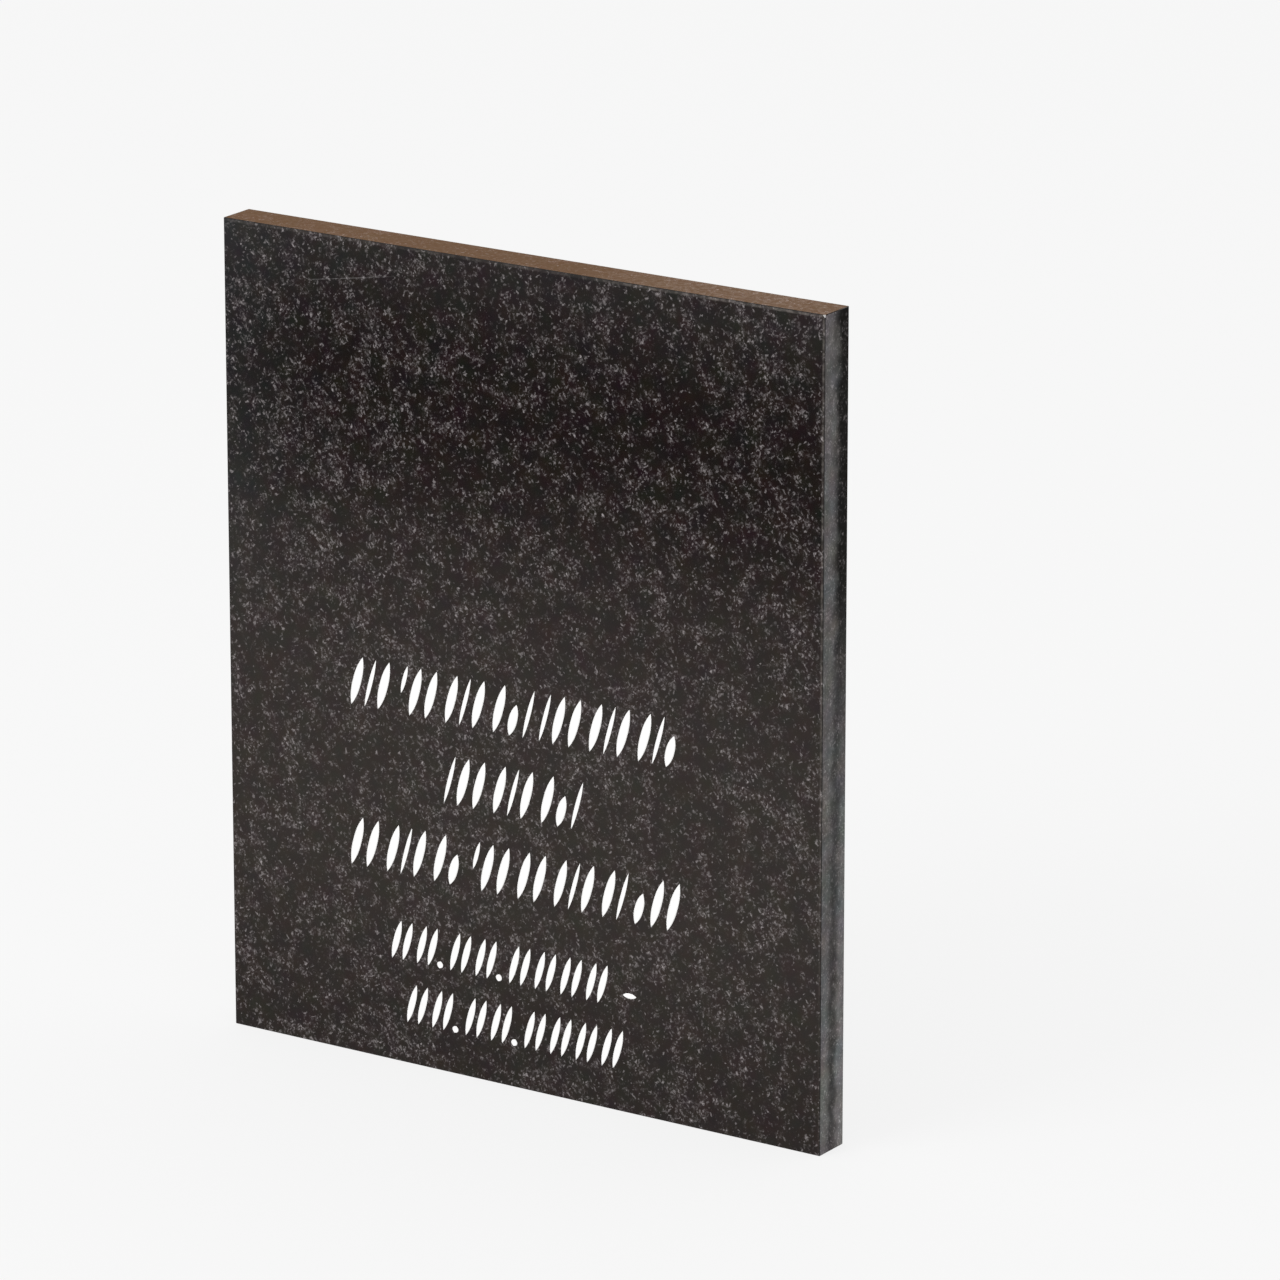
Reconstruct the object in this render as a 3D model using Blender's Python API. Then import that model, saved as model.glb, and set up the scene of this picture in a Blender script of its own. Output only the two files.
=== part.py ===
"""Small upright memorial slab of polished black granite, with rows of shallow strokes cut into its front.

Metres, +Z up. The origin is under the middle of the slab, on the surface that it stands on.
+X runs along the slab's width, and its front face looks towards -Y.
"""
import math

import bmesh
import bpy
from mathutils import Matrix, Vector

# The slab
SLAB_WIDTH = 0.250
SLAB_HEIGHT = 0.300
SLAB_THICKNESS = 0.015
ARRIS = 0.0005  # the narrow flat ground along every edge, measured on each face

# The strokes: V cuts with pointed ends, all leaning the same way
BROAD_WIDTH = 0.0036
FINE_WIDTH = 0.0017
CUT_ANGLE = math.radians(20)  # how steeply the walls of a cut go down from the face
LEAN = math.radians(16)
FULLNESS = 2.5  # a higher power keeps a stroke broad for longer before it narrows to its ends
STROKE_STEPS = 6
CUTTER_RISE = 0.001  # how far the cutter stands out of the face

# The block of rows on the front face
BLOCK_BASE = 0.0153  # foot of the lowest row, above the slab's foot
BLOCK_OFFSET = -0.0028  # middle of every row, from the middle of the slab

# Two rows of pairs where the dates stand, with dots between them and a dash after the upper row
DATE_HEIGHT = 0.0147
DATE_ROW_PITCH = 0.0230
DATE_WIDTH = 0.0027
DATE_STROKE_GAP = 0.0020
DATE_GROUP_GAP = 0.0035
DOT_SIZE = 0.0026
DOT_GAP = 0.0022
DASH_LENGTH = 0.0057
DASH_WIDTH = 0.0020
DASH_GAP = 0.0072
DASH_RISE = 0.0051  # middle of the dash, above the foot of its row

# Three rows of taller groups above them, where a name stands
NAMES_ABOVE_DATES = 0.0321  # from the foot of the upper date row to the foot of the lowest name row
NAME_HEIGHT = 0.0182
NAME_ROW_PITCH = 0.0298
NAME_STROKE_GAP = 0.0031
NAME_GROUP_GAP = 0.0052
LOW_HEIGHT = 0.0118  # a short broad stroke at the foot of its row
HIGH_HEIGHT = 0.0105  # a short fine stroke at the head of its row

# The looks of the two finishes
GRANITE_COLOUR = (0.022, 0.020, 0.020, 1.0)
GRANITE_ROUGHNESS = 0.12
PAINT_COLOUR = (0.85, 0.84, 0.80, 1.0)
PAINT_ROUGHNESS = 0.6

# Each row from the top down, with a space between two groups. B is a broad stroke, F a fine one,
# L a short broad one at the foot, H a short fine one at the head and D a date stroke.
NAME_ROWS = ("BFB HBB BFB BLF FBB BFB BFL", "FBB BFB BLF", "BB BFB BL HBB BB BFB BF LBB")
DATE_ROWS = ("DD DD . DD DD . DD DD DD DD -", "DD DD . DD DD . DD DD DD DD")


def clear_scene():
    for thing in list(bpy.data.objects):
        bpy.data.objects.remove(thing, do_unlink=True)


def plain_material(name, colour, roughness):
    finish = bpy.data.materials.new(name)
    finish.use_nodes = True
    shader = finish.node_tree.nodes["Principled BSDF"]
    shader.inputs["Base Color"].default_value = colour
    shader.inputs["Roughness"].default_value = roughness
    shader.inputs["Metallic"].default_value = 0.0
    return finish


def object_from(bm, name):
    mesh = bpy.data.meshes.new(name)
    bm.to_mesh(mesh)
    bm.free()
    thing = bpy.data.objects.new(name, mesh)
    bpy.context.scene.collection.objects.link(thing)
    return thing


def make_slab():
    bm = bmesh.new()
    size = Matrix.Diagonal((SLAB_WIDTH, SLAB_THICKNESS, SLAB_HEIGHT, 1.0))
    lift = Matrix.Translation((0.0, 0.0, 0.5 * SLAB_HEIGHT))
    bmesh.ops.create_cube(bm, size=1.0, matrix=lift @ size)
    bmesh.ops.bevel(
        bm, geom=bm.edges[:], offset=ARRIS, segments=1, profile=0.5, affect="EDGES", material=-1
    )
    slab = object_from(bm, "slab")
    granite = plain_material("polished_black_granite", GRANITE_COLOUR, GRANITE_ROUGHNESS)
    slab.data.materials.append(granite)
    return slab


def add_cut(bm, foot, head, width):
    """The trough of one V cut between two points (x, z) of the front face, pointed at both ends."""
    foot, run = Vector(foot), Vector(head) - Vector(foot)
    across = Vector((run.y, -run.x)).normalized()
    grid = bmesh.ops.create_grid(bm, x_segments=2, y_segments=STROKE_STEPS, size=1.0)
    for vert in grid["verts"]:
        side, along = vert.co.x, vert.co.y  # both run from -1 to 1
        half = 0.5 * width * (1.0 - abs(along) ** FULLNESS)
        place = foot + 0.5 * (1.0 + along) * run + side * half * across
        depth = (1.0 - abs(side)) * half * math.tan(CUT_ANGLE)
        vert.co = (place.x, depth - 0.5 * SLAB_THICKNESS, place.y)


def mark_sizes(row_height):
    """Width, height and rise above the row's foot of each kind of mark that leans."""
    return {
        "B": (BROAD_WIDTH, row_height, 0.0),
        "F": (FINE_WIDTH, row_height, 0.0),
        "L": (BROAD_WIDTH, LOW_HEIGHT, 0.0),
        "H": (FINE_WIDTH, HIGH_HEIGHT, row_height - HIGH_HEIGHT),
        "D": (DATE_WIDTH, row_height, 0.0),
        ".": (DOT_SIZE, DOT_SIZE, 0.0),
    }


def gap_after(group, following, group_gap):
    if "-" in (group, following):
        return DASH_GAP
    if "." in (group, following):
        return DOT_GAP
    return group_gap


def add_row(bm, row, foot, row_height, stroke_gap, group_gap):
    """Lays the row's marks beside each other, then cuts them with the row's middle on the block's."""
    sizes = mark_sizes(row_height)
    groups = row.split()
    marks = []
    reach = 0.0
    for group, following in zip(groups, groups[1:] + [""]):
        for kind in group:
            width = DASH_LENGTH if kind == "-" else sizes[kind][0]
            marks.append((kind, reach + 0.5 * width))
            reach += width + stroke_gap
        end = reach - stroke_gap
        reach = end + gap_after(group, following, group_gap)
    start = BLOCK_OFFSET - 0.5 * end
    for kind, place in marks:
        middle = start + place
        if kind == "-":
            left = (middle - 0.5 * DASH_LENGTH, foot + DASH_RISE)
            right = (middle + 0.5 * DASH_LENGTH, foot + DASH_RISE)
            add_cut(bm, left, right, DASH_WIDTH)
            continue
        width, height, rise = sizes[kind]
        low_x = middle + (rise - 0.5 * row_height) * math.tan(LEAN)
        high_x = low_x + height * math.tan(LEAN)
        add_cut(bm, (low_x, foot + rise), (high_x, foot + rise + height), width)


def make_cutter():
    bm = bmesh.new()
    for line, row in enumerate(reversed(DATE_ROWS)):
        foot = BLOCK_BASE + line * DATE_ROW_PITCH
        add_row(bm, row, foot, DATE_HEIGHT, DATE_STROKE_GAP, DATE_GROUP_GAP)
    names_foot = BLOCK_BASE + (len(DATE_ROWS) - 1) * DATE_ROW_PITCH + NAMES_ABOVE_DATES
    for line, row in enumerate(reversed(NAME_ROWS)):
        foot = names_foot + line * NAME_ROW_PITCH
        add_row(bm, row, foot, NAME_HEIGHT, NAME_STROKE_GAP, NAME_GROUP_GAP)
    bmesh.ops.remove_doubles(bm, verts=bm.verts[:], dist=1e-6)
    rims = [edge for edge in bm.edges if edge.is_boundary]
    raised = bmesh.ops.extrude_edge_only(bm, edges=rims)["geom"]
    corners = [item for item in raised if isinstance(item, bmesh.types.BMVert)]
    bmesh.ops.translate(bm, verts=corners, vec=(0.0, -CUTTER_RISE, 0.0))
    bmesh.ops.holes_fill(bm, edges=[edge for edge in bm.edges if edge.is_boundary])
    bmesh.ops.recalc_face_normals(bm, faces=bm.faces[:])
    cutter = object_from(bm, "stroke_cutter")
    cutter.data.materials.append(plain_material("white_paint", PAINT_COLOUR, PAINT_ROUGHNESS))
    cutter.hide_render = True
    cutter.display_type = "WIRE"
    return cutter


def cut_strokes(slab, cutter):
    cut = slab.modifiers.new("strokes", "BOOLEAN")
    cut.operation = "DIFFERENCE"
    cut.solver = "EXACT"
    cut.material_mode = "TRANSFER"  # the walls of the cuts take the cutter's white paint
    cut.object = cutter


clear_scene()
cut_strokes(make_slab(), make_cutter())
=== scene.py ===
# %% [markdown]
# # A small memorial slab of polished black granite
# The real object is one thin slab of fine black stone that stands on its narrow edge. Its face is
# ground and polished, and white painted strokes are cut low on it where an inscription goes.
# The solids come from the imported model, which is loaded first, so that everything made here shares
# its place and its size. The box that it fills is kept, and the finished slab is held against it.

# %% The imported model
import math

import bmesh
import bpy
from mathutils import Euler, Matrix, Vector


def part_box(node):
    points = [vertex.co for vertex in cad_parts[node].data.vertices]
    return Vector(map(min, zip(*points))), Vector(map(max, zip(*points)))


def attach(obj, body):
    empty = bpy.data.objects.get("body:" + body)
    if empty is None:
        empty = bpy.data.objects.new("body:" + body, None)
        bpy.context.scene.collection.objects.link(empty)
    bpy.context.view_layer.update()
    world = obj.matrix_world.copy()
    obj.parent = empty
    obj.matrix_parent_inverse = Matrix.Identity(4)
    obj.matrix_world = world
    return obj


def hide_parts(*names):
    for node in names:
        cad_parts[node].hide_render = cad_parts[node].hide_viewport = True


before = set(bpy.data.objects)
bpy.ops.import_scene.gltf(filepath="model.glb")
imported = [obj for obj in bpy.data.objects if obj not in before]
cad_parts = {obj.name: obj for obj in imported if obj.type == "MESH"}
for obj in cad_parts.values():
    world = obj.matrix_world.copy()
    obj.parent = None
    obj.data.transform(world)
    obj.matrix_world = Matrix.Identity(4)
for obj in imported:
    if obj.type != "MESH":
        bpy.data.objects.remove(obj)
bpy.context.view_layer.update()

# %% [markdown]
# ## The camera
# The slab's straight edges in the photograph give the angle and the lens: a long lens, well to the
# right of the slab and a little above it. A camera could be turned by hand until it looks right,
# but its place is worked out here from a point that it aims at, an azimuth, an elevation and a
# distance, because those four say what the picture shows.

# %% Camera at the photograph's angle
AZIMUTH = math.radians(33.534)
ELEVATION = math.radians(16.727)
DISTANCE = 2.7857
AIM = Vector((0.04556, 0.0, 0.17132))  # in the slab's middle plane
LENS = 226.8  # mm
SENSOR_WIDTH = 36.0  # mm

camera_data = bpy.data.cameras.new("camera")
camera_data.lens = LENS
camera_data.sensor_width = SENSOR_WIDTH
camera = bpy.data.objects.new("camera", camera_data)
bpy.context.scene.collection.objects.link(camera)
back = Vector((
    math.sin(AZIMUTH) * math.cos(ELEVATION),
    -math.cos(AZIMUTH) * math.cos(ELEVATION),
    math.sin(ELEVATION),
))
camera.location = AIM + DISTANCE * back
camera.rotation_euler = (-back).to_track_quat("-Z", "Y").to_euler()
bpy.context.scene.camera = camera
print("camera at", [round(c, 3) for c in camera.location], "m")

# %% [markdown]
# ## A small helper for node materials
# A procedural material is a graph of nodes. Each node could be made, set and linked in three or
# four lines. One helper does all of that: a plain value goes into the socket as its setting, and a
# socket of another node goes in as a link.

# %% Nodes in one line each
def add_node(tree, kind, inputs=None, **settings):
    node = tree.nodes.new(kind)
    for name, value in settings.items():
        setattr(node, name, value)
    for key, value in (inputs or {}).items():
        if isinstance(value, bpy.types.NodeSocket):
            tree.links.new(value, node.inputs[key])
        else:
            node.inputs[key].default_value = value
    return node


def calculate(tree, operation, first, second=0.0):
    """A Math node's result."""
    return add_node(tree, "ShaderNodeMath", {0: first, 1: second}, operation=operation).outputs[0]


def ease(tree, value, start, end, low=0.0, high=1.0):
    """Goes smoothly from low to high while the value goes from start to end."""
    inputs = {"Value": value, "From Min": start, "From Max": end, "To Min": low, "To Max": high}
    node = add_node(tree, "ShaderNodeMapRange", inputs, interpolation_type="SMOOTHSTEP")
    return node.outputs["Result"]


def new_material(name):
    material = bpy.data.materials.new(name)
    material.use_nodes = True
    return material


print("helpers: add_node, calculate, ease and new_material")

# %% [markdown]
# ## Floor and light
# The photograph has a seamless pale ground and light from everywhere. A grey floor under lamps
# would darken behind the slab and take a heavy shadow. So the floor here is partly a light table:
# most of its brightness is its own, and only the rest is lit and can be shaded. The surroundings
# have the same brightness as the floor, and one large soft lamp from the front lifts the face.

# %% Pale floor, even surroundings and one soft lamp
WHITE = (1.0, 1.0, 1.0, 1.0)
GROUND_LEVEL = 0.930  # how bright the floor and the surroundings look
FLOOR_OWN_LIGHT = 0.806
FLOOR_ALBEDO = 0.12
FLOOR_REACH = 4.0  # metres from its middle to each edge
LAMP_POWER = 30.0
LAMP_SIZE = 1.4
LAMP_PLACE = Vector((-0.9, -2.2, 1.7))
LAMP_AIM = Vector((0.0, 0.0, 0.15))  # the middle of the slab

floor_mesh = bpy.data.meshes.new("floor")
bm = bmesh.new()
bmesh.ops.create_grid(bm, x_segments=1, y_segments=1, size=FLOOR_REACH)
bm.to_mesh(floor_mesh)
bm.free()
floor = bpy.data.objects.new("floor", floor_mesh)
bpy.context.scene.collection.objects.link(floor)
floor_paint = new_material("pale_floor")
shader = floor_paint.node_tree.nodes["Principled BSDF"]
shader.inputs["Base Color"].default_value = (FLOOR_ALBEDO, FLOOR_ALBEDO, FLOOR_ALBEDO, 1.0)
shader.inputs["Roughness"].default_value = 1.0
shader.inputs["Specular IOR Level"].default_value = 0.0
shader.inputs["Emission Color"].default_value = WHITE
shader.inputs["Emission Strength"].default_value = FLOOR_OWN_LIGHT
floor_mesh.materials.append(floor_paint)

world = bpy.data.worlds.new("studio")
bpy.context.scene.world = world
world.use_nodes = True
surroundings = world.node_tree.nodes["Background"]
surroundings.inputs["Color"].default_value = WHITE
surroundings.inputs["Strength"].default_value = GROUND_LEVEL

lamp_data = bpy.data.lights.new("soft_lamp", "AREA")
lamp_data.shape = "SQUARE"
lamp_data.size = LAMP_SIZE
lamp_data.energy = LAMP_POWER
lamp = bpy.data.objects.new("soft_lamp", lamp_data)
lamp.location = LAMP_PLACE
lamp.rotation_euler = (LAMP_AIM - LAMP_PLACE).to_track_quat("-Z", "Y").to_euler()
bpy.context.scene.collection.objects.link(lamp)

bpy.context.scene.view_settings.view_transform = "Standard"
print("floor", [round(size, 2) for size in floor.dimensions], "m")

# %% [markdown]
# ## What the polished face mirrors
# The face is a dark mirror, and it mirrors the table in front of it. In the photograph its lower
# two thirds are hazy and its upper part is black, because that table ends rather more than half a
# metre in front of the slab, and the room behind it is dark until something pale begins. Cards
# could be put there, but other views would show them. So the floor asks, with the Light Path node,
# whether it is seen in a reflection: there it fades with its distance, and everywhere else it is
# pale.

# %% The floor as it looks in a reflection
MIRRORED_FLOOR = (
    # metres in front of the slab, and the light that comes from there
    (0.00, (0.35, 0.32, 0.29)),
    (0.20, (0.57, 0.52, 0.46)),
    (0.37, (0.56, 0.51, 0.46)),
    (0.53, (0.40, 0.36, 0.33)),
    (0.63, (0.15, 0.13, 0.12)),
    (0.72, (0.00, 0.00, 0.00)),
    (0.84, (0.00, 0.00, 0.00)),
    (1.00, (0.30, 0.30, 0.30)),
)
WALL_LIGHT = (0.17, 0.25, 0.27)  # a cool pale wall at the left, where the table ends
WALL_SLANT = 0.736  # the wall's edge runs away from the slab at this slope
WALL_EDGE = (-0.078, -0.135)  # where the wall starts and is full, going left
WALL_DEPTH = (0.35, 0.62)  # the same, going away from the slab

tree = floor_paint.node_tree
parts = add_node(
    tree, "ShaderNodeSeparateXYZ", {0: add_node(tree, "ShaderNodeTexCoord").outputs["Object"]}
).outputs
distance = calculate(tree, "MULTIPLY", parts[1], -1.0)
table = add_node(tree, "ShaderNodeValToRGB", {0: distance})
table.color_ramp.interpolation = "EASE"
stops = table.color_ramp.elements
for number, (reach, light) in enumerate(MIRRORED_FLOOR):
    stop = stops[number] if number < 2 else stops.new(reach)
    stop.position = reach
    stop.color = (*light, 1.0)
leftwards = calculate(tree, "ADD", parts[0], calculate(tree, "MULTIPLY", distance, WALL_SLANT))
wall = calculate(
    tree, "MULTIPLY", ease(tree, leftwards, *WALL_EDGE), ease(tree, distance, *WALL_DEPTH)
)
wall_light = add_node(
    tree, "ShaderNodeVectorMath", {0: WALL_LIGHT, "Scale": wall}, operation="SCALE"
)
seen = add_node(
    tree, "ShaderNodeVectorMath", {0: table.outputs[0], 1: wall_light.outputs[0]}, operation="ADD"
)
mirrored = add_node(tree, "ShaderNodeEmission", {"Color": seen.outputs[0]})
in_reflection = add_node(tree, "ShaderNodeLightPath").outputs["Is Glossy Ray"]
both = add_node(
    tree, "ShaderNodeMixShader",
    {0: in_reflection, 1: tree.nodes["Principled BSDF"].outputs[0], 2: mirrored.outputs[0]},
)
tree.links.new(both.outputs[0], tree.nodes["Material Output"].inputs["Surface"])
print("mirrored floor:", len(MIRRORED_FLOOR), "stops up to", MIRRORED_FLOOR[-1][0], "m")

# %% [markdown]
# ## What the polished top mirrors
# The narrow top is polished too. Seen this flat it mirrors the room behind the slab, and in the
# photograph that makes it a warm brown. The surroundings get the same question as the floor: white
# for the camera and for the light that they give, and their own colour in a reflection. Seen from
# the back, the top mirrors the grey studio in front of the slab instead of the brown room.

# %% The surroundings as they look in a reflection
MIRRORED_ROOM = (0.553, 0.308, 0.165, 1.0)  # behind the slab
MIRRORED_STUDIO = (0.60, 0.60, 0.61, 1.0)  # before it
ROOM_FADE = (0.0, 0.6)  # how far backwards a direction points where the room starts and is full

tree = world.node_tree
in_reflection = add_node(tree, "ShaderNodeLightPath").outputs["Is Glossy Ray"]
direction = add_node(tree, "ShaderNodeTexCoord").outputs["Generated"]
backwards = add_node(tree, "ShaderNodeSeparateXYZ", {0: direction}).outputs[1]
behind = ease(tree, backwards, *ROOM_FADE)
mirrored = add_node(
    tree, "ShaderNodeMix", {0: behind, 6: MIRRORED_STUDIO, 7: MIRRORED_ROOM}, data_type="RGBA"
)
room = add_node(
    tree, "ShaderNodeMix", {0: in_reflection, 6: WHITE, 7: mirrored.outputs[2]}, data_type="RGBA"
)
tree.links.new(room.outputs[2], surroundings.inputs["Color"])
print("mirrored room", MIRRORED_ROOM[:3], "and studio", MIRRORED_STUDIO[:3])

# %% [markdown]
# ## The slab's body
# A sawn slab is a box whose twelve edges are eased with a stone, because a sharp edge of granite
# chips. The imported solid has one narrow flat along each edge. Seen close, the real edge is round,
# so the body is made again in the same box: a cube stretched to it, and a bevel of a few segments.
# One corner has lost a chip of a millimetre. A plane cuts it off, and the hole is closed.

# %% Body with eased edges
ARRIS = 0.00025  # how wide the eased edge is on each face
LOW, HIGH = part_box("slab")


def new_object(name, bm):
    mesh = bpy.data.meshes.new(name)
    bm.to_mesh(mesh)
    bm.free()
    thing = bpy.data.objects.new(name, mesh)
    bpy.context.scene.collection.objects.link(thing)
    return thing


bm = bmesh.new()
stretch = Matrix.Diagonal((*(HIGH - LOW), 1.0))
bmesh.ops.create_cube(bm, size=1.0, matrix=Matrix.Translation((LOW + HIGH) / 2.0) @ stretch)
bmesh.ops.bevel(
    bm, geom=bm.edges[:], offset=ARRIS, segments=3, profile=0.5, affect="EDGES", material=-1
)
CORNER = Vector((HIGH.x, LOW.y, HIGH.z))  # the front top right corner
CHIP_REACH = (0.0011, 0.0005, 0.0012)  # how far the chip runs from it along x, y and z
CHIP_LOOKS = Vector((1.0 / CHIP_REACH[0], -1.0 / CHIP_REACH[1], 1.0 / CHIP_REACH[2])).normalized()
chip = bmesh.ops.bisect_plane(
    bm, geom=bm.verts[:] + bm.edges[:] + bm.faces[:], clear_outer=True,
    plane_co=CORNER - Vector((CHIP_REACH[0], 0.0, 0.0)), plane_no=CHIP_LOOKS,
)
chip_rim = [item for item in chip["geom_cut"] if isinstance(item, bmesh.types.BMEdge)]
bmesh.ops.holes_fill(bm, edges=chip_rim)
open_edges = sum(not edge.is_manifold for edge in bm.edges)
slab = new_object("granite_slab", bm)
print("slab", [round(1000 * size, 2) for size in HIGH - LOW], "mm")
print("chip with", len(chip_rim), "sides,", open_edges, "open edges")

# %% [markdown]
# ## Where the strokes are
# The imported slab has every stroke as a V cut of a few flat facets, too coarse for a close look.
# Their places could be typed in a second time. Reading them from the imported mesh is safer, because
# both models then always agree. A copy of the mesh is merged, and each island of points below the
# face is one stroke: its two furthest rim points are its ends, and the rim's reach is its width.

# %% Ends and width of every stroke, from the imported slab
FACE_LEVEL = LOW.y
JUST_BELOW = 0.00001
BORDER = 0.001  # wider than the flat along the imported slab's edges


def is_sunk(vert):
    x, y, z = vert.co
    inside = abs(x) < HIGH.x - BORDER and LOW.z + BORDER < z < HIGH.z - BORDER
    return inside and FACE_LEVEL + JUST_BELOW < y < 0.0


def island_from(start):
    """All points of the facets that can be reached from one sunk point over other sunk points."""
    found = {start}
    waiting = [start]
    while waiting:
        for face in waiting.pop().link_faces:
            for vert in face.verts:
                if vert not in found:
                    found.add(vert)
                    if is_sunk(vert):
                        waiting.append(vert)
    return found


def ends_and_width(island):
    rim = [Vector((v.co.x, v.co.z)) for v in island if not is_sunk(v)]
    pairs = [(a, b) for a in rim for b in rim]
    foot, head = max(pairs, key=lambda pair: (pair[1] - pair[0]).length)
    if (head.y, head.x) < (foot.y, foot.x):
        foot, head = head, foot
    run = (head - foot).normalized()
    reach = max(abs(run.x * (p - foot).y - run.y * (p - foot).x) for p in rim)
    return foot, head, 2.0 * reach


bm = bmesh.new()
bm.from_mesh(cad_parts["slab"].data)
bmesh.ops.remove_doubles(bm, verts=bm.verts[:], dist=1e-6)
STROKES = []
left_over = {vert for vert in bm.verts if is_sunk(vert)}
while left_over:
    island = island_from(min(left_over, key=lambda vert: vert.index))
    left_over -= island
    STROKES.append(ends_and_width(island))
bm.free()
STROKES.sort(key=lambda stroke: (round(stroke[0].y, 4), stroke[0].x))
widths = sorted({round(1000 * width, 2) for _, _, width in STROKES})
print(len(STROKES), "strokes, widths", widths, "mm")

# %% [markdown]
# ## Cutting the strokes
# A mason cuts each stroke with a V-shaped tool that sinks in, runs and rises out, so it is broad
# and deep in its middle and comes to a point at both ends. One grid per stroke is bent into that
# trough, its rim is drawn out of the face, and the holes are closed. All of them together are one
# cutter, and a Boolean takes them out of the slab at once.

# %% Finer cuts
CUT_SLOPE = math.tan(math.radians(20.0))
FULLNESS = 2.5  # a higher power keeps a stroke broad for longer
CUT_STEPS = 18
CUTTER_RISE = 0.001


def half_width(along, width):
    return 0.5 * width * (1.0 - abs(along) ** FULLNESS)


def on_stroke(stroke, side, along, depth):
    """A point of a stroke: side and along run from -1 to 1, and depth is metres below the face."""
    foot, head, width = stroke
    run = head - foot
    across = Vector((run.y, -run.x)).normalized()
    place = foot + 0.5 * (1.0 + along) * run + side * half_width(along, width) * across
    return place.x, FACE_LEVEL + depth, place.y


bm = bmesh.new()
for stroke in STROKES:
    grid = bmesh.ops.create_grid(bm, x_segments=2, y_segments=CUT_STEPS, size=1.0)
    for vert in grid["verts"]:
        side, along = vert.co.x, vert.co.y
        depth = (1.0 - abs(side)) * half_width(along, stroke[2]) * CUT_SLOPE
        vert.co = on_stroke(stroke, side, along, depth)
bmesh.ops.remove_doubles(bm, verts=bm.verts[:], dist=1e-6)
rims = [edge for edge in bm.edges if edge.is_boundary]
raised = bmesh.ops.extrude_edge_only(bm, edges=rims)["geom"]
corners = [item for item in raised if isinstance(item, bmesh.types.BMVert)]
bmesh.ops.translate(bm, verts=corners, vec=(0.0, -CUTTER_RISE, 0.0))
bmesh.ops.holes_fill(bm, edges=[edge for edge in bm.edges if edge.is_boundary])
bmesh.ops.recalc_face_normals(bm, faces=bm.faces[:])
cutter = new_object("cutter", bm)

cut = slab.modifiers.new("strokes", "BOOLEAN")
cut.operation = "DIFFERENCE"
cut.solver = "EXACT"
cut.object = cutter
evaluated = slab.evaluated_get(bpy.context.evaluated_depsgraph_get())
carved = bpy.data.meshes.new_from_object(evaluated)
slab.modifiers.clear()
slab.data = carved
bpy.data.objects.remove(cutter)
print("carved slab:", len(carved.polygons), "faces")

# %% [markdown]
# ## The paint in the strokes
# The sign painter fills each cut with white enamel and wipes the face clean. The paint settles into
# a shallow dish that starts at the rim. Colouring the walls of the cuts would be quicker, but the
# paint is a material of its own with its own softness of edge, so it is a piece: one closed body
# for each stroke, whose underside reaches just into the stone.

# %% Paint bodies
PAINT_BELOW_RIM = 0.000004
DISH = 0.3  # depth of the paint's dish as a share of the cut's depth
BEDDING = 0.00003  # how far the paint reaches into the stone
PAINT_STEPS = 14


def put_in_order(elements, place):
    """Sorts points or faces by place, because an extrusion leaves them in no fixed order."""
    for number, element in enumerate(sorted(elements, key=place)):
        element.index = number
    elements.sort()


bm = bmesh.new()
for stroke in STROKES:
    grid = bmesh.ops.create_grid(bm, x_segments=4, y_segments=PAINT_STEPS, size=1.0)
    top = list({face for vert in grid["verts"] for face in vert.link_faces})
    lower = bmesh.ops.extrude_face_region(bm, geom=top)["geom"]
    lower = [item for item in lower if isinstance(item, bmesh.types.BMVert)]
    bmesh.ops.translate(bm, verts=lower, vec=(0.0, 0.0, 1.0))
    for vert in grid["verts"] + lower:
        side, along, level = vert.co
        cut_depth = half_width(along, stroke[2]) * CUT_SLOPE
        depth = PAINT_BELOW_RIM + DISH * cut_depth * (1.0 - side * side)
        if level > 0.5:
            depth = BEDDING + (1.0 - abs(side)) * cut_depth
        vert.co = on_stroke(stroke, side, along, depth)
bmesh.ops.remove_doubles(bm, verts=bm.verts[:], dist=1e-7)
bmesh.ops.dissolve_degenerate(bm, dist=1e-7, edges=bm.edges[:])
bmesh.ops.recalc_face_normals(bm, faces=bm.faces[:])
put_in_order(bm.verts, lambda vert: tuple(vert.co))
put_in_order(bm.faces, lambda face: tuple(face.calc_center_median()))
open_edges = sum(not edge.is_manifold for edge in bm.edges)
for face in bm.faces:
    face.smooth = True
paint = new_object("stroke_paint", bm)
print("paint:", len(paint.data.polygons), "faces,", open_edges, "open edges")

# %% [markdown]
# ## Which side a face belongs to
# The front and the top are polished, the upright sides are only ground, and the back and the foot
# stay as the saw left them. Each face is sorted by the direction it looks in, and the chip has a
# direction of its own. A face that looks in none of them is an eased edge or the wall of a cut. The
# sorting gives each face its finish.

# %% Sorting the faces by their direction
DIRECTIONS = {
    "front": Vector((0.0, -1.0, 0.0)),
    "right": Vector((1.0, 0.0, 0.0)),
    "left": Vector((-1.0, 0.0, 0.0)),
    "top": Vector((0.0, 0.0, 1.0)),
    "back": Vector((0.0, 1.0, 0.0)),
    "foot": Vector((0.0, 0.0, -1.0)),
    "chip": CHIP_LOOKS,
}
FINISHES = {
    # place of each kind's finish in the slab's list of materials
    "front": 0, "top": 0, "right": 1, "left": 1, "back": 2, "foot": 2, "eased": 3, "chip": 4
}
STRAIGHT = 0.999  # a face looks straight in a direction above this cosine of the angle between them


def side_of(polygon):
    for name, direction in DIRECTIONS.items():
        if direction.dot(polygon.normal) > STRAIGHT:
            return name
    return "eased"


for polygon in slab.data.polygons:
    polygon.material_index = FINISHES[side_of(polygon)]
counts = {name: sum(side_of(p) == name for p in slab.data.polygons) for name in FINISHES}
print("faces of each kind", counts)

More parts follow.
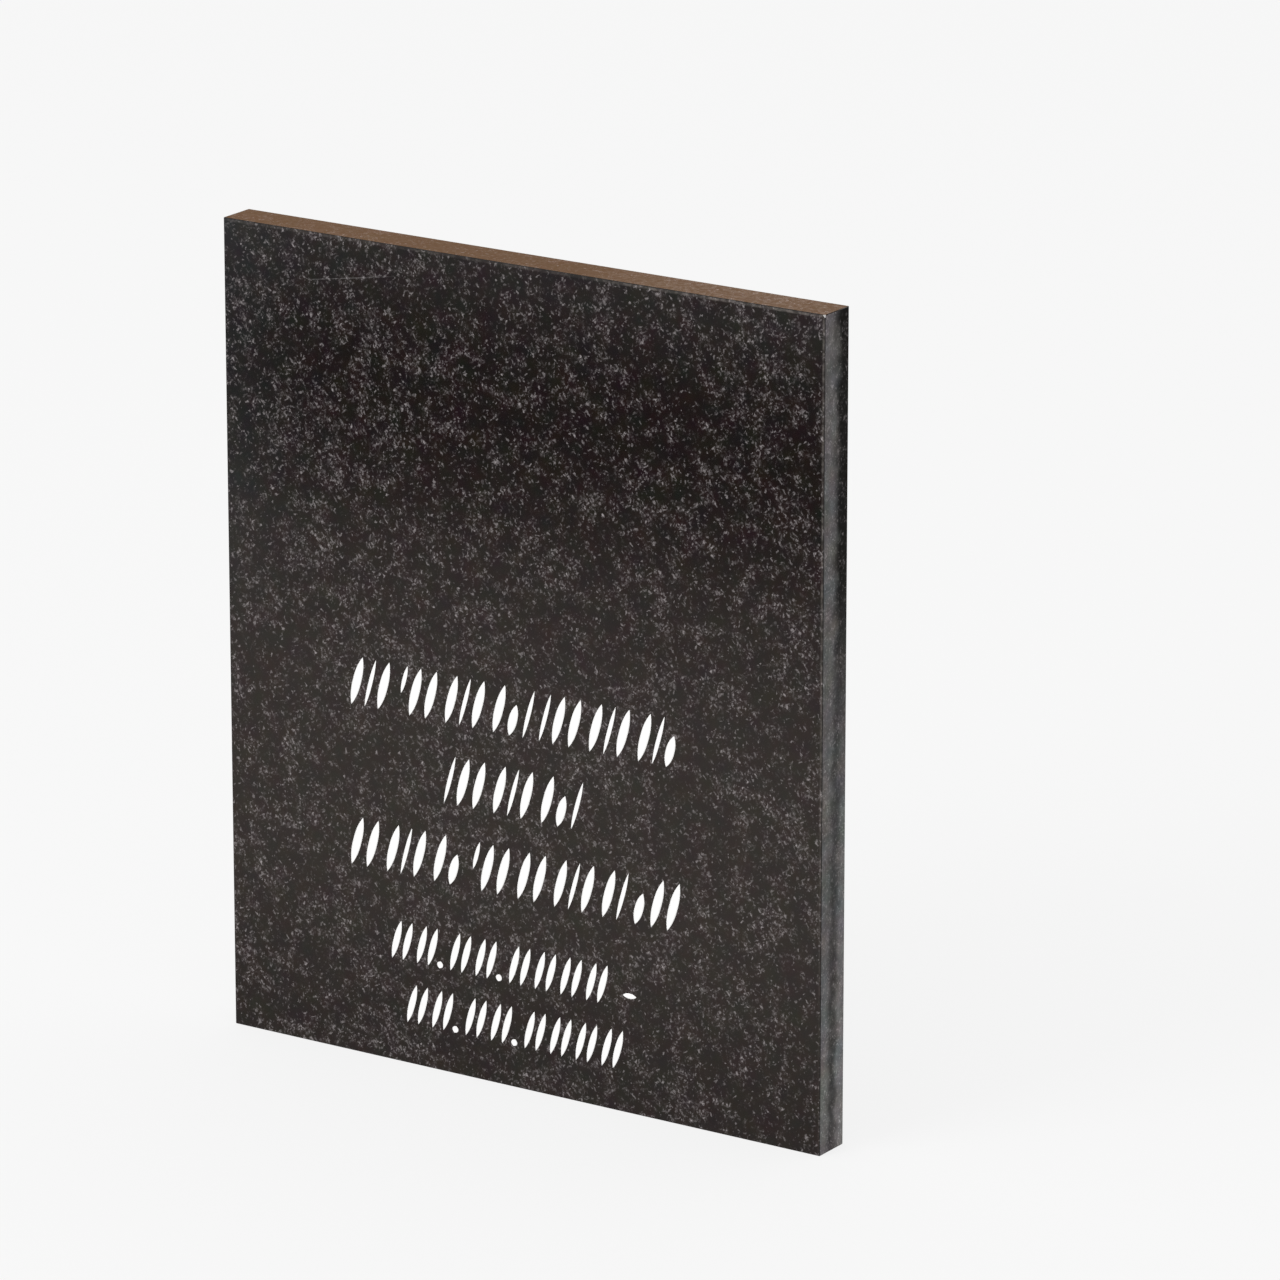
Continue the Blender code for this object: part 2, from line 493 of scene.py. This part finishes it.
# %% [markdown]
# ## Black granite
# The stone is a fine gabbro that the trade calls black granite: dark pyroxene with small pale laths
# of feldspar, one to two millimetres long, that lie in all directions and gather in clouds. A
# photograph could be wrapped round the slab, but it would show seams at the edges. A solid pattern
# in object space runs through the stone, as real grain does. It starts from the place in the stone,
# in millimetres, and from a noise, which wanders slowly or quickly from one place to the next.

# %% Place and noise in the stone
NOISE_SPAN = (0.3, 0.7)  # nearly all of a noise lies between these


def millimetres(tree):
    """Place in the stone, in millimetres from the slab's origin."""
    place = add_node(tree, "ShaderNodeTexCoord").outputs["Object"]
    return add_node(tree, "ShaderNodeMapping", {"Vector": place, "Scale": (1000.0,) * 3}).outputs[0]


def noise(tree, place, scale, detail=2.0, output=0):
    inputs = {"Vector": place, "Scale": scale, "Detail": detail}
    return add_node(tree, "ShaderNodeTexNoise", inputs).outputs[output]


def wander(tree, place, scale, detail, low, high):
    """A noise stretched so that it wanders between low and high."""
    return ease(tree, noise(tree, place, scale, detail), *NOISE_SPAN, low, high)


print("a noise is stretched from its span of", NOISE_SPAN)

# %% [markdown]
# ## Laths in clouds
# Each lath is one long, slim crystal. Thousands of them could be drawn one by one, but a cell
# pattern stretched along one direction gives them all at once: a lath lies in the middle of each
# cell, a few cells are bright and most stay dark. Four layers, each turned another way, cross each
# other. A noise of three sizes says where many cells are bright and where few are, and another one
# bends the outlines, because crystals that grow against each other have no neat shape.

# %% The grain that all finishes share
LATHS = (
    # turn in degrees, then length, width and thickness of a cell in mm
    ((10.0, 28.0, 8.0), (2.4, 0.95, 0.95)),
    ((-12.0, 82.0, 15.0), (2.8, 0.9, 0.9)),
    ((8.0, 128.0, -12.0), (3.3, 1.0, 1.0)),
    ((40.0, 70.0, 60.0), (1.0, 0.85, 0.85)),
)
LATH_OUTLINE = (0.52, 0.12)  # a lath starts and is full at these distances from its cell's middle
CLUSTERS = ((3.2, 0.9), (8.0, 0.7), (22.0, 0.45))  # size in mm, and how much they count
CROWDED = 3.2  # a cell's brightness is its chance to this power in a cluster
SPARSE = 20.0  # and to this power away from one
RAGGED = 1.6  # how far, in mm, the laths' outlines wander
FINE_GRAINS = (0.42, 0.72)  # the part of a noise that stands for grains too fine to see one by one
SMUDGE = (-0.4, 1.2, 0.0, 0.06)  # their light: none away from a cluster, and the last value in one


def clusters(tree, place):
    """How thick the laths lie: about -1 where they are few and 1 where they crowd."""
    total = 0.0
    for size, weight in CLUSTERS:
        total = calculate(tree, "ADD", wander(tree, place, 1.0 / size, 1.0, -weight, weight), total)
    return total


def lath_layer(tree, place, turn, sizes, power):
    """Brightness of one layer of laths."""
    angles = Euler([math.radians(a) for a in turn])
    turned = add_node(tree, "ShaderNodeMapping", {"Vector": place, "Rotation": angles}).outputs[0]
    share = [1.0 / size for size in sizes]
    scaled = add_node(tree, "ShaderNodeMapping", {"Vector": turned, "Scale": share}).outputs[0]
    cells = add_node(tree, "ShaderNodeTexVoronoi", {"Vector": scaled, "Scale": 1.0})
    chance = add_node(tree, "ShaderNodeSeparateColor", {"Color": cells.outputs["Color"]}).outputs[0]
    body = ease(tree, cells.outputs["Distance"], *LATH_OUTLINE)
    return calculate(tree, "MULTIPLY", body, calculate(tree, "POWER", chance, power))


def flecks(tree, place):
    """Brightness of all laths together, gathered into clusters."""
    wobble = noise(tree, place, 1.0, 1.0, output=1)
    centred = add_node(
        tree, "ShaderNodeVectorMath", {0: wobble, 1: (0.5, 0.5, 0.5)}, operation="SUBTRACT"
    ).outputs[0]
    ragged = add_node(
        tree, "ShaderNodeVectorMath", {0: centred, 1: (RAGGED,) * 3, 2: place},
        operation="MULTIPLY_ADD",
    ).outputs[0]
    thick = clusters(tree, place)
    power = ease(tree, thick, -1.0, 1.0, SPARSE, CROWDED)
    fine = ease(tree, noise(tree, place, 0.8), *FINE_GRAINS)
    total = calculate(tree, "MULTIPLY", fine, ease(tree, thick, *SMUDGE))
    for turn, sizes in LATHS:
        total = calculate(tree, "ADD", lath_layer(tree, ragged, turn, sizes, power), total)
    return total


print(len(LATHS), "layers of laths in clusters of", [size for size, _ in CLUSTERS], "mm")

# %% [markdown]
# ## One recipe for every finish
# Polished, ground or sawn, it is the same stone, so the finishes differ only in the colour of the
# ground between the laths, in how bright the laths are, and in their gloss. One recipe takes those.
# Gloss and reflectance that are the same all over are set on the shader's own sockets.

# %% The recipe
LATH_COLOUR = (1.0, 0.923, 0.937)
LATHS_DULLER = 0.06  # how much rougher a bright lath is than the ground


def scaled_colour(tree, colour, amount):
    inputs = {0: colour, "Scale": amount}
    return add_node(tree, "ShaderNodeVectorMath", inputs, operation="SCALE").outputs[0]


def add_colours(tree, first, second):
    return add_node(tree, "ShaderNodeVectorMath", {0: first, 1: second}, operation="ADD").outputs[0]


def tinted(tree, colour, tints):
    inputs = {0: tints, 1: colour}
    return add_node(tree, "ShaderNodeVectorMath", inputs, operation="MULTIPLY").outputs[0]


def granite(name, ground, lath_light, reflectance, roughness):
    """A finish of the stone. ground makes the colour between the laths out of the place."""
    material = new_material(name)
    tree = material.node_tree
    shader = tree.nodes["Principled BSDF"]
    place = millimetres(tree)
    bright = flecks(tree, place)
    laths = scaled_colour(tree, LATH_COLOUR, calculate(tree, "MULTIPLY", bright, lath_light))
    colour = add_colours(tree, ground(tree, place), laths)
    tree.links.new(colour, shader.inputs["Base Color"])
    duller = ease(tree, bright, 0.0, 0.6, roughness, roughness + LATHS_DULLER)
    tree.links.new(duller, shader.inputs["Roughness"])
    shader.inputs["Specular IOR Level"].default_value = reflectance
    print(name, "has", len(tree.nodes), "nodes")
    return material


print("laths are", LATH_COLOUR, "times their light")

# %% [markdown]
# ## The polished face
# The photograph shows the ground between the laths as a warm near-black with hardly visible reddish
# and greenish patches of a centimetre or less. They come from a colour noise. The haze on the face
# is no part of it, because the haze is the mirrored floor: it needs only an even, clear reflection.
# Along the right and top borders a thin pale line is a painted highlight, whose strength a noise
# varies along the edge, and one fine scratch runs across the upper left.

# %% Polished granite
FACE_GROUND = (0.0108, 0.0074, 0.0068)
PATCH_SIZE = 8.0  # mm
PATCH_TINT = (1.2, 1.3, 0.8)  # how strongly the patches differ in colour
# a painted highlight: the thin pale line along the right and top borders of the face
RIM_PAINTED_HIGHLIGHT = (0.030, 0.0275, 0.025)
RIM_RIGHT = (123.7, 124.3)  # x where the line along the right border starts and is full, in mm
RIM_RIGHT_GROWS = (40.0, 200.0, 0.2, 1.0)  # its strength between these two heights
RIM_TOP = (298.6, 299.2)  # z where the line along the top border starts and is full
RIM_TOP_GROWS = (20.0, 60.0, 0.5, 1.4)  # its strength between these two x
HIGHLIGHT_BREAKS = (0.4, 0.68, 0.65, 2.2)  # how the noise along an edge changes the painted highlight's strength
SCRATCH_LIGHT = (0.070, 0.068, 0.068)
SCRATCH_START = -88.5  # x and z of its strong end, in mm
SCRATCH_HEIGHT = 282.5
SCRATCH_SLOPE = 0.168
SCRATCH_HOOK = -0.42  # slope of the short hook to the left of that end
SCRATCH_HOOK_END = (-3.3, -2.7)  # where the hook starts and is full, along x from that end
SCRATCH_LENGTH = 40.0
SCRATCH_HALF_WIDTH = 0.26
SCRATCH_GAPS = (0.35, 0.6, 0.3, 1.0)  # how a noise breaks the line


def tinted_patches(tree, place, size, strength):
    """A colour that wanders round white, from place to place."""
    swing = noise(tree, place, 1.0 / size, output=1)
    middle = [1.0 - 0.5 * share for share in strength]
    inputs = {0: swing, 1: strength, 2: middle}
    return add_node(tree, "ShaderNodeVectorMath", inputs, operation="MULTIPLY_ADD").outputs[0]


def painted_rim_highlight(tree, place):
    """Strength of the painted highlight, a thin line along the right and top borders of the face."""
    parts = add_node(tree, "ShaderNodeSeparateXYZ", {0: place}).outputs
    right = calculate(
        tree, "MULTIPLY", ease(tree, parts[0], *RIM_RIGHT), ease(tree, parts[2], *RIM_RIGHT_GROWS)
    )
    top = calculate(
        tree, "MULTIPLY", ease(tree, parts[2], *RIM_TOP), ease(tree, parts[0], *RIM_TOP_GROWS)
    )
    highlight_breaks = ease(tree, noise(tree, place, 0.5, 3.0), *HIGHLIGHT_BREAKS)
    return calculate(tree, "MULTIPLY", calculate(tree, "MAXIMUM", right, top), highlight_breaks)


def fine_scratch(tree, place):
    """Strength of the scratch: a thin, slightly broken line with a short hook at its left end."""
    parts = add_node(tree, "ShaderNodeSeparateXYZ", {0: place}).outputs
    along = calculate(tree, "SUBTRACT", parts[0], SCRATCH_START)
    run = calculate(tree, "MULTIPLY", along, SCRATCH_SLOPE)
    rise = calculate(tree, "MAXIMUM", run, calculate(tree, "MULTIPLY", along, SCRATCH_HOOK))
    line = calculate(tree, "ADD", rise, SCRATCH_HEIGHT)
    off = calculate(tree, "ABSOLUTE", calculate(tree, "SUBTRACT", parts[2], line))
    width = ease(tree, off, SCRATCH_HALF_WIDTH, 0.0)
    begins = ease(tree, along, *SCRATCH_HOOK_END)
    fades = ease(tree, along, SCRATCH_LENGTH, 0.8 * SCRATCH_LENGTH)
    broken = ease(tree, noise(tree, place, 0.7, 1.0), *SCRATCH_GAPS)
    strength = calculate(tree, "MULTIPLY", calculate(tree, "MULTIPLY", width, begins), fades)
    return calculate(tree, "MULTIPLY", strength, broken)


def face_ground(tree, place):
    patches = tinted_patches(tree, place, PATCH_SIZE, PATCH_TINT)
    ground = tinted(tree, FACE_GROUND, patches)
    # painted highlight along the right and top borders
    ground = add_colours(tree, ground, scaled_colour(tree, RIM_PAINTED_HIGHLIGHT, painted_rim_highlight(tree, place)))
    return add_colours(tree, ground, scaled_colour(tree, SCRATCH_LIGHT, fine_scratch(tree, place)))


slab.data.materials.append(
    granite("polished_granite", face_ground, lath_light=0.165, reflectance=0.5, roughness=0.10)
)

# %% [markdown]
# ## The ground sides
# The narrow sides are rubbed down by hand after sawing, which leaves them grey. Light and shade are
# painted across that grey: a grey strip runs up the front half, the back half is painted shade
# nearly as dark as the face in its upper part, and painted light greys it again towards the foot.
# Both strips are soft steps across the thickness and up the height, and a slow noise bends their
# borders. Small grains in the grey carry painted glints.

# %% Ground sides
SIDE_GREY = (0.101, 0.099, 0.098)
SIDE_PATCH_SIZE = 11.0  # mm
SIDE_PATCH_TINT = (0.42, 0.22, 0.34)
STRIP_SWAY = 1.1  # how far the borders of the strips wander, in mm
FRONT_STRIP = (-3.0, 4.0, 1.0, 0.0)  # it fades between these two depths in the thickness, in mm
BACK_STRIP = (-0.6, 5.2)  # and this one comes in
FRONT_SHIFT = 1.9  # how much narrower the front strip is at the foot, in mm
BACK_FOLLOWS = 0.4  # the share of that by which the back strip grows
LOWER = (180.0, 10.0)  # heights between which that happens, in mm
BACK_PAINTED_LIGHT = (215.0, 95.0, 0.08, 1.25)  # the back strip's painted light between these two heights: painted shade high up, lighter low down
FOOT_PAINTED_LIGHT = (75.0, 20.0, 1.0, 1.18)  # both strips get more painted light near the foot
PAINTED_GLINTS = (0.56, 0.76, 0.0, 1.3)  # the part of a noise that stands for painted glints of grains, and their light


def side_ground(tree, place):
    parts = add_node(tree, "ShaderNodeSeparateXYZ", {0: place}).outputs
    sway = wander(tree, place, 0.12, 1.5, -STRIP_SWAY, STRIP_SWAY)
    depth = calculate(tree, "ADD", parts[1], sway)
    shift = ease(tree, parts[2], *LOWER, 0.0, FRONT_SHIFT)
    front_strip = ease(tree, calculate(tree, "ADD", depth, shift), *FRONT_STRIP)
    follows = calculate(tree, "MULTIPLY", shift, BACK_FOLLOWS)
    back_strip = ease(tree, calculate(tree, "ADD", depth, follows), *BACK_STRIP)
    # painted light and shade: the back strip is dark high up and lighter low down
    wear_and_painted_light = ease(tree, parts[2], *BACK_PAINTED_LIGHT)
    strips = calculate(tree, "ADD", front_strip, calculate(tree, "MULTIPLY", back_strip, wear_and_painted_light))
    light = calculate(tree, "MULTIPLY", strips, ease(tree, parts[2], *FOOT_PAINTED_LIGHT))
    cloudy = wander(tree, place, 0.3, 2.0, 0.82, 1.12)
    # painted glints of small grains
    painted_glints = ease(tree, noise(tree, place, 1.5), *PAINTED_GLINTS)
    painted_light_and_grain = calculate(tree, "MULTIPLY", light, calculate(tree, "ADD", cloudy, painted_glints))
    patches = tinted_patches(tree, place, SIDE_PATCH_SIZE, SIDE_PATCH_TINT)
    return scaled_colour(tree, tinted(tree, SIDE_GREY, patches), painted_light_and_grain)


slab.data.materials.append(
    granite("ground_granite_side", side_ground, lath_light=0.11, reflectance=0.03, roughness=0.35)
)

# %% [markdown]
# ## The sawn back
# Nobody sees the back of such a slab, so it stays as the saw left it: matt, paler, because a rough
# surface scatters light, and crossed by faint shallow marks of the blade.

# %% Sawn back and foot
SAWN_GREY = (0.10, 0.098, 0.095)


def saw_marks(tree, place):
    inputs = {"Vector": place, "Scale": 0.12, "Distortion": 1.2, "Detail": 2.0, "Detail Scale": 0.3}
    wave = add_node(tree, "ShaderNodeTexWave", inputs, wave_type="BANDS", bands_direction="Z")
    return wave.outputs["Fac"]


def sawn_ground(tree, place):
    cloudy = wander(tree, place, 0.06, 4.0, 0.92, 1.08)
    grainy = wander(tree, place, 1.1, 3.0, 0.68, 1.32)
    marked = ease(tree, saw_marks(tree, place), 0.0, 1.0, 0.93, 1.06)
    uneven = calculate(tree, "MULTIPLY", cloudy, marked)
    return scaled_colour(tree, SAWN_GREY, calculate(tree, "MULTIPLY", uneven, grainy))


sawn = granite("sawn_granite", sawn_ground, lath_light=0.16, reflectance=0.3, roughness=0.65)
tree = sawn.node_tree
place = millimetres(tree)
half_marks = calculate(tree, "MULTIPLY", saw_marks(tree, place), 0.5)
relief = calculate(tree, "ADD", half_marks, noise(tree, place, 2.5, 3.0))
bump = add_node(tree, "ShaderNodeBump", {"Height": relief, "Strength": 0.25, "Distance": 0.0002})
tree.links.new(bump.outputs[0], tree.nodes["Principled BSDF"].inputs["Normal"])
slab.data.materials.append(sawn)

# %% [markdown]
# ## Eased edges
# A rubbing stone rounds the edges by a quarter of a millimetre. Round the face they draw a thin dark
# line against the lighter sides. Round the back they are as grey as the sawn stone.

# %% Eased edges and the walls of the cuts
EASED_GREY = (0.020, 0.0185, 0.018)
PALER_BACK = (-1.0, 4.0, 1.0, 4.5)  # times as pale, between these two depths in mm


def eased_ground(tree, place):
    depth = add_node(tree, "ShaderNodeSeparateXYZ", {0: place}).outputs[1]
    paler = ease(tree, depth, *PALER_BACK)
    wear_and_painted_light = wander(tree, place, 0.25, 3.0, 0.75, 1.25)
    return scaled_colour(tree, EASED_GREY, calculate(tree, "MULTIPLY", paler, wear_and_painted_light))


slab.data.materials.append(
    granite("eased_granite_edge", eased_ground, lath_light=0.06, reflectance=0.1, roughness=0.45)
)

# %% [markdown]
# ## The chip
# Where granite breaks, the crushed grains scatter nearly all the light, so a fresh chip is pale grey
# and rough, whatever the colour of the polished stone.

# %% Broken stone
BROKEN_GREY = (0.40, 0.39, 0.385)


def broken_ground(tree, place):
    return scaled_colour(tree, BROKEN_GREY, wander(tree, place, 3.0, 3.0, 0.75, 1.25))


slab.data.materials.append(
    granite("broken_granite", broken_ground, lath_light=0.10, reflectance=0.3, roughness=0.75)
)

# %% [markdown]
# ## White enamel
# The paint is an opaque white with a soft sheen. On stone it dries slightly uneven, so its
# roughness varies and a very fine bump breaks its reflection.

# %% Paint
ENAMEL_WHITE = (0.90, 0.895, 0.885)


def white_enamel():
    material = new_material("white_enamel")
    tree = material.node_tree
    shader = tree.nodes["Principled BSDF"]
    place = millimetres(tree)
    uneven = noise(tree, place, 0.8, 3.0)
    shade = ease(tree, uneven, *NOISE_SPAN, 0.96, 1.0)
    tree.links.new(scaled_colour(tree, ENAMEL_WHITE, shade), shader.inputs["Base Color"])
    tree.links.new(ease(tree, uneven, *NOISE_SPAN, 0.40, 0.55), shader.inputs["Roughness"])
    inputs = {"Height": uneven, "Strength": 0.15, "Distance": 0.0001}
    bump = add_node(tree, "ShaderNodeBump", inputs)
    tree.links.new(bump.outputs[0], shader.inputs["Normal"])
    print("white_enamel has", len(tree.nodes), "nodes")
    return material


paint.data.materials.append(white_enamel())

# %% [markdown]
# ## A map for the bake
# Other programs can't read these node graphs, so each piece's finish can be baked into one square
# picture. A map says where each face lies in it. Blender could unwrap the slab by itself, but it
# would scatter the walls of the cuts as hundreds of scraps. Here the six sides are laid out like an
# unfolded carton, the front with the most room, and every other face goes with the side that it
# looks towards most.

# %% Six sides in one square
MAP_SIDE = 1024.0  # pixels
PIXELS_PER_MM = 2.85
SIDES_ON_MAP = {
    # axis along the picture and axis up it, lower left corner, pixels for a millimetre each way
    "front": ("x", "z", 3.0, 3.0, PIXELS_PER_MM, PIXELS_PER_MM),
    "top": ("x", "y", 3.0, 864.0, PIXELS_PER_MM, PIXELS_PER_MM),
    "right": ("z", "y", 3.0, 913.0, PIXELS_PER_MM, PIXELS_PER_MM),
    "left": ("z", "y", 3.0, 962.0, PIXELS_PER_MM, PIXELS_PER_MM),
    "foot": ("y", "x", 722.0, 3.0, PIXELS_PER_MM, PIXELS_PER_MM),
    "back": ("x", "z", 771.0, 3.0, 1.0, PIXELS_PER_MM),
}


def place_on_map(side, corner):
    along, upwards, left, bottom, wide, high = SIDES_ON_MAP[side]
    u = left + 1000.0 * wide * (getattr(corner, along) - getattr(LOW, along))
    v = bottom + 1000.0 * high * (getattr(corner, upwards) - getattr(LOW, upwards))
    return u / MAP_SIDE, v / MAP_SIDE


bake_map = slab.data.uv_layers.new(name="OFBake")
for polygon in slab.data.polygons:
    nearest = max(SIDES_ON_MAP, key=lambda side: DIRECTIONS[side].dot(polygon.normal))
    for loop in polygon.loop_indices:
        corner = slab.data.vertices[slab.data.loops[loop].vertex_index].co
        bake_map.data[loop].uv = place_on_map(nearest, corner)
across, up = zip(*[tuple(point.uv) for point in bake_map.data])
print("map across", round(min(across), 3), "to", round(max(across), 3))
print("map upwards", round(min(up), 3), "to", round(max(up), 3))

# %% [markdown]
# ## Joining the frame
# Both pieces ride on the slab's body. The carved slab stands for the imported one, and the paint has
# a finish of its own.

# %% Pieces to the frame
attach(slab, "root")
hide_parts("slab")
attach(paint, "root")
print("pieces:", slab.name, "and", paint.name)
